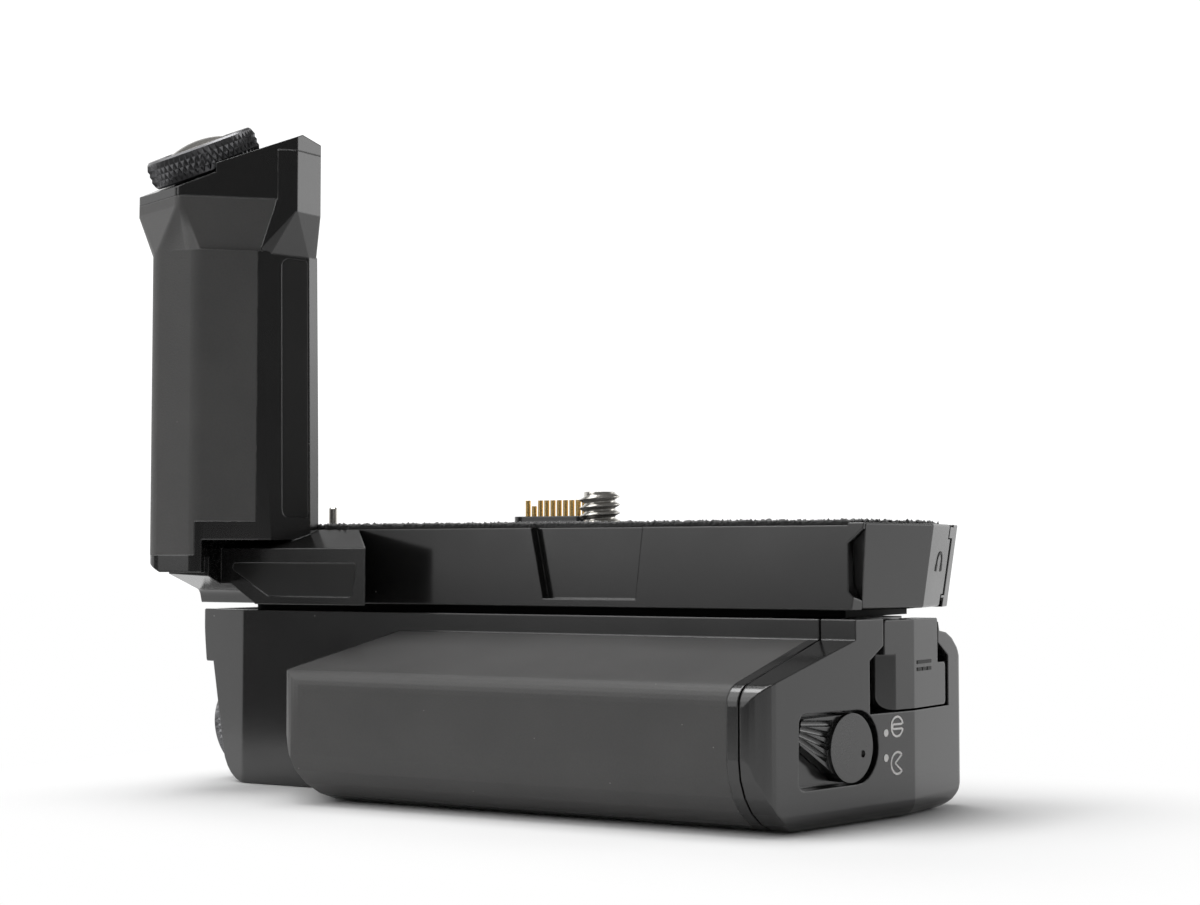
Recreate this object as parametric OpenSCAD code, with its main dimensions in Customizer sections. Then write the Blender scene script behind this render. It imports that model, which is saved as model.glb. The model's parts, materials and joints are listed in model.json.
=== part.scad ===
// Camera battery grip: an upper plate with a handgrip, over a lower battery holder with a portrait grip.
// Millimetres. +X is right seen from the front, +Y is the back and +Z is up.
// The origin is on the axis of the camera screw, in the plane that the camera stands on.

/* [Plate] */
// From the screw axis to the plate's front face
plate_front = 14.5; // [14:0.5:16]
// From the screw axis to the back face of both units
back = 16; // [15.5:0.5:17]
// From the screw axis to the plate's left end
plate_left = 66.5; // [64:0.5:69]
// From the screw axis to the ridge of the plate's right end
plate_right = 54.4; // [54:0.2:57]
// How far the right end's front corner lies behind its ridge
plate_corner_in = 4.4; // [3:0.2:6]
// How far the right end's back corner lies behind its ridge
plate_back_in = 2.2; // [1:0.2:4]
// Thickness of the plate under the seat pad
plate_thick = 11.7; // [11:0.1:13]
// Inward slope of the plate's right end, in degrees
plate_draft = 8.5; // [6:0.5:9]
// Thickness of the seat pad
pad_thick = 0.5; // [0.3:0.1:1]
// Thickness of the plate's bottom cover
cover_thick = 1.4; // [1.2:0.1:1.8]
// Depth of the notch in the plate's front face
notch_depth = 1.6; // [0.8:0.2:2.4]

/* [Camera screw] */
// Major radius of the camera screw
screw_r = 3.175; // [3.175:0.1:4.775]
// Height of the camera screw above the seat
screw_high = 5.2; // [4:0.1:6]
// Radius of the screw's plain neck
neck_r = 2.5; // [2:0.1:2.8]
// Teeth on the screw's gear
screw_teeth = 16; // [16:4:20]
// Teeth on the thumb wheel's gear
wheel_teeth = 12; // [12:4:16]
// Pitch of the gears, as pitch diameter per tooth
gear_module = 0.75; // [0.7:0.05:0.8]
// How far the thumb wheel stands out of the back
wheel_proud = 1.5; // [1:0.1:2]

/* [Contacts] */
// Length of the contact block
contact_long = 16.2; // [15:0.2:18]
// Height of the contact block above the seat
contact_high = 1.6; // [1:0.1:2]
// Number of contact pins
pin_count = 10; // [8:1:11]
// Diameter of a contact pin
pin_d = 0.85; // [0.7:0.05:0.95]
// Height of the contact pins above the block
pin_high = 2.6; // [2:0.1:3]
// Diameter of the locating pin
locating_d = 1.4; // [1.2:0.1:2]
// Height of the locating pin above the seat
locating_high = 3.4; // [2.5:0.1:4]

/* [Handgrip] */
// Height at which the handgrip starts to flare
flare_low = 43; // [41:0.5:45]
// Height at which the flare ends
flare_high = 49.6; // [48.5:0.2:50.4]
// Height of the rubber's top edge
rubber_top = 51.4; // [50.8:0.1:52]
// Thickness of the rubber coverings
rubber_t = 1.1; // [0.8:0.1:1.4]
// Tilt of the dial's axis from vertical, in degrees
dial_tilt = 25; // [22:0.5:26]
// Radius of the control dial
dial_r = 9.1; // [8.6:0.1:9.3]
// Height of the control dial
dial_high = 4.6; // [4.2:0.1:5]
// Depth of the dial's ledge below the cap's top
ledge_deep = 2.1; // [1.8:0.1:2.4]
// Radius of the shutter button
button_r = 4.8; // [4.2:0.1:5]
// Travel of the shutter button
button_travel = 1; // [0.6:0.1:1.2]
// Front of the root block, from the screw axis
root_front = 23.5; // [22.5:0.5:25]

/* [Lower unit] */
// Gap between the two units
unit_gap = 1.2; // [1:0.1:1.6]
// Height of the lower unit
body_height = 27.9; // [27.5:0.1:30]
// From the screw axis to the lower unit's left end
body_left = 69.7; // [68:0.5:72]
// From the screw axis to the lower unit's right ridge
body_right = 52.2; // [52:0.2:55]
// From the screw axis to the lower unit's front wall
body_front = 15; // [14.5:0.5:16]
// From the screw axis to the front of the portrait grip
grip_front = 34.5; // [33.5:0.5:37]
// Lowering of the grip's top slope from the wall to its front
grip_slope = 5.8; // [5:0.2:7]
// Radius of the grip's bottom edges at the front and the left
bottom_r = 10; // [8:0.5:11]
// Radius of the bottom edges at the right end
end_bottom_r = 2.5; // [1.5:0.5:4]
// Gap of the seam round the end cover
seam_gap = 0.3; // [0.3:0.05:0.5]

/* [Battery] */
// Length of the battery pack
battery_long = 54; // [50:1:56]
// Width of the battery pack
battery_wide = 34.5; // [32:0.5:35]
// Height of the battery pack
battery_high = 11.4; // [10.6:0.1:11.6]
// Wall of the battery tray
tray_wall = 0.9; // [0.7:0.1:1.1]

/* [Controls of the lower unit] */
// Radius of the lock lever's disc
lever_r = 4.7; // [4.2:0.1:5]
// Reach of the lock lever from its axis
lever_reach = 10.6; // [9.5:0.1:11]
// Depth of the lock lever's recess
lever_deep = 2.3; // [2:0.1:2.4]
// Radius of the portrait dial
portrait_r = 7.8; // [7:0.1:8]
// Height of the portrait dial above its wall
portrait_proud = 3.2; // [2.6:0.1:3.6]
// Radius of the rear dial
rear_r = 6.8; // [6:0.1:7]
// Radius of the function buttons
fn_r = 2.6; // [2:0.1:3]
// Travel of the small buttons
fn_travel = 0.6; // [0.4:0.1:0.8]
// Radius of the coupling wheel
coupling_r = 8.4; // [8:0.1:9]

/* [Hidden] */
$fn = 48;
far = 200;
// Running clearance of a shaft in its bore
running = 0.05;
// Clearance between pieces that move past each other
clear = 0.3;
// Steps of a rounded corner
arc_steps = 6;

z_shell = -pad_thick;
z_plate = z_shell - plate_thick;
z_body = z_plate - unit_gap;
z_floor = z_body - body_height;
ridge_y = 0.5;

// Right end of the plate: directions of its two facets, from the front towards the right
plate_az_front = atan2(ridge_y + plate_front, plate_corner_in);
plate_az_back = atan2(back - ridge_y, -plate_back_in);
end_skin_t = 2;
left_corner_x = 58;
plate_plan = [
    [-left_corner_x, -plate_front], [plate_right + 2, -plate_front], [plate_right + 2, back],
    [-plate_left, back], [-plate_left, -plate_front + 3.5]
];
plate_plan_r = [2, 0, 0, 2, 2];
notch_top = [-3.7, 15.6];
notch_low = [-1.4, 14.3];
notch_end = z_shell - 10.5;

// Gear pair that drives the camera screw
screw_gear_r = gear_module * screw_teeth / 2;
wheel_gear_r = gear_module * wheel_teeth / 2;
wheel_y = screw_gear_r + wheel_gear_r;
wheel_r = back + wheel_proud - wheel_y;
gear_top = z_shell - 4;
gear_low = gear_top - 2.6;
rim_low = z_plate + cover_thick + clear;
rim_top = gear_low - clear;
journal_r = 1.5;
bush_r = screw_r + 0.25;

// Contacts
contact_x = -10.9;
contact_y = 5;
contact_wide = 6.4;
contact_deep = 2.2;
pin_pitch = 1.17;
locating_x = -51.5;

// Hinge of the headphone cover, in the frame of the right end's back facet
hp_hinge_along = 11.9;
hp_hinge_in = 0.9;
hp_pin_r = 0.4;
hp_lug_high = 1.6;
hp_top = -0.1;
hp_strip = 0.3;
hp_seam_lean = 6.2;
hp_scoop_wide = 2.3;
hp_scoop_deep = 1.9;
jack_r = 1.78;
jack_long = 18;
jack_y = -5;
jack_z = z_shell - plate_thick / 2;

// Handgrip sections, anticlockwise from the inner back corner
foot_low = -7.2;
inner_x = -43.15;
inner_top_x = -43.95;
inner_edge = 16.7;
function column_at(x) = [
    [x, -plate_front], [-66.2, -plate_front], [-65.9, -28.6], [-61.8, -33], [x - 10.6, -32.2], [x - 3.5, -25.3],
    [x - 2.2, -23.3], [x, -inner_edge]
];
column_radii = [0.4, 2, 4, 3, 4, 0.8, 0.6, 0.4];
inner_az = atan2(23.3 - inner_edge, 2.2);
head_plan = [
    [-43, -plate_front], [-69.8, -plate_front], [-69.6, -28.3], [-56.5, -33.6], [-43.2, -20.8]
];
head_radii = [0.6, 2, 1.6, 1.6, 0.8];
head_facet_az = 46;
dial_az = 248.6;
dial_x = -59.8;
dial_y = -23.6;
dial_z = 58.9;
dial_post_r = button_r + 1.1;
dial_post_high = 2.2;
button_deep = ledge_deep + 2.5;
button_top = dial_high - ledge_deep - 0.1;
cap_z = 57.9;
cap_tilt = 22.5;
spine_x = -45.4;
spine_top = 59.3;
rubber_edge_x = -47;
rubber_head_x = -45.5;
rubber_back_y = -17;
tongue_x = -53.9;
tongue_low = -4.5;
rubber_low = 0.7;
inlay_t = 0.8;
inlay_low = 1.4;
inlay_high = 42.2;
inlay_front = -5.2;
inlay_back = -0.4;
foot_right = 52;
foot_rim_y = 17;
foot_rim_high = 2;
foot_right_in = 55.6;
root_left = 66.2;
root_left_front = 62.4;
root_right = 27.4;
root_right_in = 8;
root_bevel = 3;
root_inlay = [[-53, -5.8], [-53.3, -6.8], [-46, -10.9], [-29.8, -10.9], [-29.2, -5.8]];

// Lower unit: its right end follows two facets that meet on a ridge
body_az = 76.2;
body_az_back = 87.5;
end_ridge_y = -1.8;
function facet_x(y) =
    body_right - (end_ridge_y - y) / tan(y < end_ridge_y ? body_az : body_az_back);
left_facet_in = 3.7;
body_plan = [
    [-left_corner_x, -body_front], [facet_x(-body_front), -body_front], [body_right, end_ridge_y],
    [facet_x(back), back], [-body_left, back], [-body_left, -body_front + left_facet_in]
];
body_plan_r = [3, 0, 0, 2, 2, 1];
// Side profile of the wall behind the grip, as [y, z]
back_step = 2.1;
back_top_r = 8.7;
step_y = back - back_top_r - 0.1;
wall_side = [
    [-body_front - 1, z_floor], [back, z_floor], [back, z_body - back_step], [step_y, z_body - back_step],
    [step_y - 0.8, z_body], [-body_front - 1, z_body]
];
wall_side_r = [1.5, 8, back_top_r, 0, 0, 0];
// Front profile, as [x, z]: the lip and the slanted wall of the left end
lip_low = z_body - 8.6;
lip_in = 3.1;
left_slope = 0.22;
wall_front = [
    [-body_left + lip_in + (lip_low - z_floor) * left_slope, z_floor], [far, z_floor], [far, z_body],
    [-body_left, z_body], [-body_left + 1.1, lip_low], [-body_left + lip_in, lip_low]
];
wall_front_r = [6.5, 0, 0, 0.8, 0.4, 0];
// The portrait grip in front of the wall
grip_left = 49;
grip_corner = 33.5;
grip_in = 6;
band_low = z_body - 2.8;
grip_plan = [
    [-grip_left, -body_front], [-grip_corner, -grip_front], [facet_x(-grip_front), -grip_front],
    [facet_x(-body_front + grip_in), -body_front + grip_in], [-grip_left, -body_front + grip_in]
];
grip_plan_r = [0, 6, 3.5, 0, 0];
grip_left_az = -atan2(grip_front - body_front, grip_left - grip_corner);
grip_side = [
    [-body_front + grip_in, z_floor], [-body_front + grip_in, band_low], [-body_front, band_low],
    [-grip_front, band_low - grip_slope], [-grip_front, z_floor]
];
grip_side_r = [0, 0, 2, 3, bottom_r];
// Plane that lowers the grip's top towards its left end
shoulder_at = [-27.9, -body_front, band_low - 0.3];
shoulder_tilt = 19.3;
shoulder_az = 209.7;
// Seam of the end cover, seen from above
seam = [[body_right - 11.3, -grip_front], [body_right - 8.4, -body_front], [body_right - 7.6, back]];
rim_wide = 1.6;
rubber_floor = z_floor + 1;

// Jack tower that stays on the body, in a notch of the end cover, as [y, z]
dc_shoulder = z_body - 5;
dc_low = z_body - 12.7;
dc_neck = [-8.6, 6.4];
dc_wide = [-8.6, 9.1];
dc_finger = 3.1;
dc_side_gap = 0.9;
dc_bevel_y = -6.1;
dc_axis_x = body_right - 2.5;
dc_axis_z = z_body - 2.2;
dc_pin_r = 0.55;
dc_lug = [-3.4, 0.6];
dc_jack_y = -1;
dc_jack_z = z_body - 8;
dc_jack_r = 3.2;

// Battery drawer
tray_floor = z_floor + 2.6;
battery_z = tray_floor + tray_wall;
battery_x0 = seam[0].x - 0.4 - battery_long;
tray_front = -27;
tray_back = tray_front + battery_wide + 2 * tray_wall + 0.2;
tray_x0 = battery_x0 - tray_wall - 0.3;

// Lock lever on the front facet
lever_y = -16.1;
lever_z = z_floor + 10.6;
lever_rest = 165;
lever_groove_r = 0.45;
lever_groove_step = 0.72;
lever_groove_fan = 8;
lever_dimple = [2.45, -0.95];
lever_shaft_r = 2;
lever_recess = [[-11.6, -5], [6.2, -5], [6.2, 5.1], [-11.4, 5.1]];
lever_recess_r = [1.4, 4.9, 4.9, 1.4];

// Controls on the left end and the back
portrait_y = -3.6;
portrait_z = z_floor + 8.5;
portrait_tilt = atan(left_slope);
portrait_x = -body_left + lip_in + (lip_low - portrait_z) * left_slope;
portrait_hub_r = fn_r + 1.7;
rear_x = -52;
rear_z = z_body - 13.4;
rear_proud = 2;
fn_x = [-36, -28];
fn_z = z_body - 17;

// Coupling of the two units
coupling_x = -30;
coupling_y = back + 0.4 - coupling_r;
coupling_top = z_body - 3.6;
coupling_low = coupling_top - 4;
stud_r = 2;
boss = [[-60, -11], [seam[0].x - 3, -11], [seam[0].x - 3, 5], [-60, 5]];
lid_t = 1.5;
socket_x = -30;
socket_y = -4;
socket_r = 3.175;
socket_deep = 5.5;

// Outlines

function unit(v) = v / norm(v);
function before(i, n) = (i + n - 1) % n;
function after(i, n) = (i + 1) % n;

// Points of a corner at p, between a and b, rounded to radius r
function corner(a, p, b, r) =
    let (
        u = unit(a - p),
        w = unit(b - p),
        half = acos(u * w) / 2,
        centre = p + unit(u + w) * r / sin(half),
        from = p + u * r / tan(half) - centre,
        turn = 180 - 2 * half,
        side = cross(from, p + w * r / tan(half) - centre) > 0 ? 1 : -1
    )
    r == 0 ? [p] : [
        for (i = [0:arc_steps])
            let (t = side * turn * i / arc_steps)
                centre + [from.x * cos(t) - from.y * sin(t), from.x * sin(t) + from.y * cos(t)]
    ];

// An outline with its corners rounded to the radii given
function rounded(pts, radii) =
    let (n = len(pts))
    [for (i = [0:n - 1]) each corner(pts[before(i, n)], pts[i], pts[after(i, n)], radii[i])];

// An anticlockwise outline moved inwards by d
function inward(p, q) = let (e = unit(q - p)) [-e.y, e.x];
function shrink(pts, d) =
    let (n = len(pts))
    [
        for (i = [0:n - 1])
            let (
                m = inward(pts[before(i, n)], pts[i]),
                k = inward(pts[i], pts[after(i, n)])
            )
                pts[i] + (m + k) * d / (1 + m * k)
    ];

// A rounded, shrunken outline
function formed(pts, radii, d = 0) = rounded(shrink(pts, d), [for (r = radii) max(r - d, 0)]);

// Solids from outlines

module prism_z(pts, z0, z1) {
    translate([0, 0, z0])
        linear_extrude(z1 - z0)
            polygon(pts);
}

module prism_x(pts, x0, x1) {
    translate([x0, 0, 0])
        rotate([90, 0, 90])
            linear_extrude(x1 - x0)
                polygon(pts);
}

module prism_y(pts, y0, y1) {
    translate([0, y1, 0])
        rotate([90, 0, 0])
            linear_extrude(y1 - y0)
                polygon(pts);
}

// A box between two corners
module span(a, b) {
    translate(a)
        cube(b - a);
}

// A drum along z between two heights
module drum(r, z0, z1) {
    translate([0, 0, z0])
        cylinder(r = r, h = z1 - z0);
}

// Everything beyond a plane whose normal turns az from the front and dips by draft
module beyond(at, az, draft = 0) {
    translate(at)
        rotate([0, 0, az - 90])
            rotate([0, draft, 0])
                translate([0, -far, -far])
                    cube(2 * far);
}

// A gear with straight-sided teeth, one of them on +x
module gear(teeth, pitch_r, z0, z1) {
    root = pitch_r - 1.2 * gear_module;
    tip = pitch_r + 0.75 * gear_module;
    width = PI * gear_module;
    drum(root, z0, z1);
    for (i = [0:teeth - 1])
        rotate(i * 360 / teeth)
            prism_z(
                [[root - 0.4, -0.3 * width], [tip, -0.1 * width], [tip, 0.1 * width], [root - 0.4, 0.3 * width]],
                z0, z1
            );
}

// Plate

module plate_solid(inset = 0, top = z_shell) {
    difference() {
        prism_z(formed(plate_plan, plate_plan_r), z_plate, top);
        for (az = [plate_az_front, plate_az_back])
            beyond([plate_right, ridge_y, z_shell] - inset * [sin(az), -cos(az), 0], az, plate_draft);
    }
}

// Frame of the right end's back facet: x outwards, y towards the back, z up the facet
module on_back_facet() {
    translate([plate_right, ridge_y, z_shell])
        rotate([0, 0, plate_az_back - 90])
            rotate([0, plate_draft, 0])
                children();
}

module hp_hinge_zone(grow) {
    on_back_facet()
        span(
            [-end_skin_t - 0.3, hp_hinge_along - 1.2 - grow, -plate_thick - 2],
            [2, hp_hinge_along + hp_hinge_in + 0.35, 2]
        );
}

module hp_lugs() {
    intersection() {
        plate_solid();
        on_back_facet()
            for (z = [[-hp_lug_high, 1], [-plate_thick - 1, -plate_thick + hp_lug_high]])
                span(
                    [-end_skin_t - 0.6, hp_hinge_along - 0.75, z[0]],
                    [1, hp_hinge_along + hp_hinge_in + 0.6, z[1]]
                );
    }
}

module hp_pin_hole(r) {
    on_back_facet()
        translate([-hp_hinge_in, hp_hinge_along, -plate_thick + 0.7])
            cylinder(r = r, h = plate_thick - 1.4);
}

// The front corner of the plate, up to the leaning seam of the headphone cover
module hp_front_strip(gap) {
    along = [cos(plate_az_front), sin(plate_az_front), 0];
    beyond(
        [plate_right - plate_corner_in, -plate_front, z_shell] + (hp_strip + gap) * along,
        plate_az_front - 90, hp_seam_lean
    );
}

// Recess for a fingernail, beside the front edge of the headphone cover
module hp_scoop() {
    translate([plate_right - plate_corner_in, 0, 0])
        prism_y(
            [
                [1, z_shell - 0.3], [-0.1, z_shell - 0.5], [-hp_scoop_wide, z_shell - 2.4],
                [-hp_scoop_wide, z_plate + 2.6], [-0.3, z_plate + 0.5], [1, z_plate + 0.3]
            ],
            -plate_front - 1, -plate_front + hp_scoop_deep
        );
}

module wheel_pocket() {
    drum(screw_gear_r + 1, z_plate, gear_top);
    translate([0, wheel_y, 0]) {
        drum(wheel_gear_r + 1, z_plate, gear_top);
        drum(wheel_r + 0.5, z_plate, rim_top + clear / 2);
        drum(journal_r + running, z_plate, gear_top + 2);
    }
}

module contact_outline(grow) {
    hull()
        for (side = [-1, 1])
            translate([contact_x + side * (contact_long - contact_wide) / 2, contact_y])
                circle(contact_wide / 2 + grow);
}

module front_notch() {
    prism_y(
        [
            [notch_low[0], notch_end], [notch_low[1], notch_end], [notch_top[1], z_shell + 1],
            [notch_top[0], z_shell + 1]
        ],
        -plate_front - 1, -plate_front + notch_depth
    );
}

module base_plate() {
    color([0.1, 0.1, 0.11])
    difference() {
        union() {
            difference() {
                plate_solid(end_skin_t + 0.2);
                hp_hinge_zone(0);
            }
            // The corners before and behind the headphone cover are part of the plate
            difference() {
                plate_solid(0, hp_top);
                plate_solid(end_skin_t + 0.3, hp_top + 1);
                difference() {
                    on_back_facet()
                        translate([-far, -far, -far])
                            cube([2 * far, far + hp_hinge_along + hp_hinge_in + 0.35, 2 * far]);
                    hp_front_strip(0);
                }
            }
            hp_lugs();
        }
        hp_pin_hole(hp_pin_r);
        front_notch();
        hp_scoop();
        translate([0, 0, z_plate])
            prism_z(formed(plate_plan, plate_plan_r, 3), -1, cover_thick);
        drum(bush_r, gear_top - 1, 1);
        wheel_pocket();
        translate([0, 0, z_shell - contact_deep])
            linear_extrude(far)
                contact_outline(0);
        translate([locating_x, 0, 0])
            drum(locating_d / 2, z_shell - 4, 1);
        translate([plate_right - jack_long, jack_y, jack_z])
            rotate([0, 90, 0])
                cylinder(r = 3, h = far);
        screw_places()
            drum(0.9, z_plate, z_plate + 5);
    }
}

// The bottom cover ends before the headphone jack's end of the plate
module plate_cover() {
    color([0.09, 0.09, 0.1])
    difference() {
        intersection() {
            prism_z(formed(plate_plan, plate_plan_r, 3), z_plate, z_plate + cover_thick);
            plate_solid(end_skin_t + 0.2);
        }
        drum(journal_r + running, z_plate - 1, 0);
        translate([0, wheel_y, 0]) {
            drum(journal_r + running, z_plate - 1, 0);
            // The thumb wheel shows through the back wall, so the cover stops short of it
            span([-wheel_r, back - 3.1 - wheel_y, z_plate - 1], [wheel_r, far, 0]);
        }
        translate([coupling_x, coupling_y, 0])
            drum(stud_r + running, z_plate - 1, 0);
        screw_places() {
            drum(0.9, z_plate - 1, 0);
            drum(1.7, z_plate - 1, z_plate + 0.8);
        }
    }
}

module screw_places() {
    for (x = [20.5 - plate_left, plate_right - 28.4])
        for (y = [6.5 - plate_front, back - 7])
            translate([x, y, 0])
                children();
}

module plate_screws() {
    color([0.25, 0.25, 0.27])
    screw_places() {
        drum(1.7, z_plate, z_plate + 0.8);
        drum(0.9, z_plate + 0.8, z_plate + 5);
    }
}

module seat_pad() {
    color([0.13, 0.13, 0.14])
    difference() {
        prism_z(formed(plate_plan, plate_plan_r, 0.8), z_shell, 0);
        // It stops at the inner face of the headphone cover
        for (az = [plate_az_front, plate_az_back])
            beyond([plate_right, ridge_y, 0] - (end_skin_t + 0.5) * [sin(az), -cos(az), 0], az);
        drum(screw_r + 1.6, -1, 1);
        translate([0, 0, -1])
            linear_extrude(2)
                contact_outline(0.25);
        translate([locating_x, 0, 0])
            drum(locating_d / 2 + 0.4, -1, 1);
        front_notch();
        // The pad keeps clear of the handgrip's column
        span([-far, -far, -1], [inner_x + 0.6, -plate_front + 1.2, 1]);
    }
}

module camera_screw() {
    color([0.75, 0.74, 0.71]) {
        drum(screw_r, 0, screw_high - 0.8);
        translate([0, 0, screw_high - 0.8])
            cylinder(r1 = screw_r, r2 = screw_r - 0.8, h = 0.8);
        drum(neck_r, gear_top - 0.1, 0);
        rotate(90)
            gear(screw_teeth, screw_gear_r, gear_low, gear_top - 0.1);
        drum(journal_r, z_plate + 0.2, gear_low);
    }
}

module screw_bush() {
    color([0.72, 0.55, 0.28])
    difference() {
        drum(bush_r, gear_top, z_shell);
        drum(neck_r + running, gear_top - 1, 1);
    }
}

// Knurled rim that shows at the back, with the gear above it
module thumb_wheel() {
    color([0.16, 0.16, 0.17])
    translate([0, wheel_y, 0]) {
        difference() {
            drum(wheel_r, rim_low, rim_top);
            for (i = [0:35])
                rotate(i * 10)
                    translate([wheel_r + 0.25, 0, rim_low - 1])
                        rotate(45)
                            cylinder(r = 0.7, h = far, $fn = 4);
        }
        rotate(270 + 180 / wheel_teeth)
            gear(wheel_teeth, wheel_gear_r, rim_top, gear_top - 0.1);
        drum(journal_r, z_plate + 0.2, gear_top + 1.8);
    }
}

module contact_block() {
    color([0.05, 0.05, 0.05])
    difference() {
        union() {
            translate([0, 0, z_shell - contact_deep])
                linear_extrude(contact_deep - z_shell + 0.7)
                    contact_outline(0);
            linear_extrude(contact_high)
                contact_outline(-0.7);
        }
        contact_pin_places()
            drum(pin_d / 2, z_shell - contact_deep + 0.6, far);
    }
}

module contact_pin_places() {
    for ($pin = [0:pin_count - 1])
        translate([contact_x + ($pin - (pin_count - 1) / 2) * pin_pitch, contact_y, 0])
            children();
}

// The second pin from the left is a short one
module contact_pins() {
    color([0.83, 0.66, 0.3])
    contact_pin_places()
        drum(pin_d / 2, z_shell - contact_deep + 0.6, contact_high + pin_high - ($pin == 1 ? 0.9 : 0));
}

module locating_pin() {
    color([0.7, 0.7, 0.7])
    translate([locating_x, 0, 0]) {
        drum(locating_d / 2, z_shell - 4, locating_high - 0.2);
        translate([0, 0, locating_high - 0.2])
            cylinder(r1 = locating_d / 2, r2 = locating_d / 2 - 0.2, h = 0.2);
    }
}

module headphone_cover() {
    color([0.11, 0.11, 0.12])
    difference() {
        union() {
            difference() {
                plate_solid(0, hp_top);
                plate_solid(end_skin_t, hp_top + 1);
                hp_hinge_zone(0.2);
                on_back_facet()
                    translate([-far, hp_hinge_along, -far])
                        cube(2 * far);
            }
            // Hinge leaf between the two lugs
            on_back_facet()
                span(
                    [-1.7, hp_hinge_along - 1.6, -plate_thick + hp_lug_high + 0.2],
                    [-0.02, hp_hinge_along, -hp_lug_high - 0.2]
                );
            on_back_facet()
                translate([-hp_hinge_in, hp_hinge_along, -plate_thick + hp_lug_high + 0.2])
                    cylinder(r = hp_hinge_in - 0.02, h = plate_thick - 2 * hp_lug_high - 0.4);
        }
        hp_pin_hole(hp_pin_r + running);
        hp_front_strip(0.15);
        span([-far, -far, z_plate - 1], [far, far, z_plate + 0.15]);
    }
}

module headphone_pin() {
    color([0.7, 0.7, 0.72])
    hp_pin_hole(hp_pin_r);
}

// Socket behind the headphone cover
module headphone_jack() {
    color([0.3, 0.3, 0.31])
    difference() {
        intersection() {
            translate([plate_right - jack_long, jack_y, jack_z])
                rotate([0, 90, 0])
                    cylinder(r = 3, h = far);
            plate_solid(end_skin_t + 1);
        }
        translate([plate_right - jack_long + 2, jack_y, jack_z])
            rotate([0, 90, 0])
                cylinder(r = jack_r, h = far);
    }
}

// Handgrip

// The column leans back on its inner side
inner_lean = atan((inner_x - inner_top_x) / (flare_low - foot_low));

module column_form(d = 0) {
    difference() {
        prism_z(formed(column_at(inner_x), column_radii, d), foot_low, flare_low);
        for (az = [90, inner_az])
            beyond([inner_x, -inner_edge, foot_low] - d * [sin(az), -cos(az), 0], az, -inner_lean);
    }
}

// Frame of the slanted part of the inner side: x outwards, y towards the back, z up the side
module on_inner_side() {
    translate([inner_x, -inner_edge, foot_low])
        rotate([0, 0, inner_az - 90])
            rotate([0, -inner_lean, 0])
                children();
}

module head_form(d = 0) {
    prism_z(formed(head_plan, head_radii, d), flare_high, dial_z + 8);
}

// Column, flare and head of the handgrip, moved inwards by d
module grip_form(d = 0) {
    column_form(d);
    hull() {
        prism_z(formed(column_at(inner_top_x), column_radii, d), flare_low - 0.2, flare_low);
        prism_z(formed(head_plan, head_radii, d), flare_high, flare_high + 0.2);
    }
    head_form(d);
}

module on_dial() {
    translate([dial_x, dial_y, dial_z])
        rotate([0, dial_tilt, dial_az])
            children();
}

// What the sloped top and its ledge take off the head
module cap_cuts() {
    translate([dial_x, dial_y, cap_z])
        rotate([0, cap_tilt, dial_az])
            translate([-far, -far, 0])
                cube(2 * far);
    on_dial()
        drum(dial_r + 0.6, -ledge_deep, far);
    intersection() {
        on_dial()
            translate([-far, -far, -ledge_deep])
                cube(2 * far);
        translate([dial_x, dial_y, 0])
            rotate(180 + head_facet_az)
                span([-1, -far, 0], [far, far, far]);
    }
    // Back edge of the peak slopes down to the rear
    translate([inner_x, -20.8, 62.3])
        rotate([-12, 0, 0])
            span([-far, 0, 0], [far, far, far]);
}

// Back spine of the head, which belongs to the shell
module spine_zone(grow) {
    span([spine_x - grow, -far, rubber_top - 1], [far, far, spine_top + grow]);
}

module rubber_zone() {
    prism_y(
        [
            [-far, rubber_low], [rubber_edge_x, rubber_low], [rubber_edge_x, flare_low + 0.7],
            [rubber_head_x, rubber_top], [-far, rubber_top]
        ],
        -far, rubber_back_y
    );
    span([-far, -far, tongue_low], [tongue_x, rubber_back_y, rubber_low + 1]);
}

// Block under the column, with a bevelled top and its lower left corner taken off
module root_block() {
    difference() {
        intersection() {
            prism_z(
                [
                    [-root_left_front, -root_front], [-root_right, -root_front],
                    [-root_right - root_right_in, -plate_front], [-root_left, -plate_front]
                ],
                z_plate, z_shell
            );
            prism_x(
                [
                    [-root_front, z_plate], [-plate_front, z_plate], [-plate_front, z_shell],
                    [-root_front, z_shell - root_bevel]
                ],
                -far, far
            );
        }
        prism_y([[-far, z_plate - 1], [-47, z_plate - 1], [-56.6, foot_low], [-far, foot_low]], -far, far);
    }
}

// Underside of the foot, which slopes back and down to the plate
module foot_wedge() {
    intersection() {
        prism_x(
            rounded(
                [
                    [-33, foot_low], [-foot_rim_y - 1, z_plate + foot_rim_high], [-foot_rim_y, z_plate],
                    [-plate_front, z_plate], [-plate_front, foot_low + 2.4], [-33, foot_low + 2.4]
                ],
                [0, 2, 0.4, 0, 0, 0]
            ),
            -far, far
        );
        prism_z(
            [
                [-59, -31.8], [-foot_right - 0.6, -29.9], [-foot_right_in, -root_front],
                [-46.5, -root_front], [-46.5, -plate_front], [-root_left, -plate_front]
            ],
            z_plate, z_shell
        );
    }
}

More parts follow.
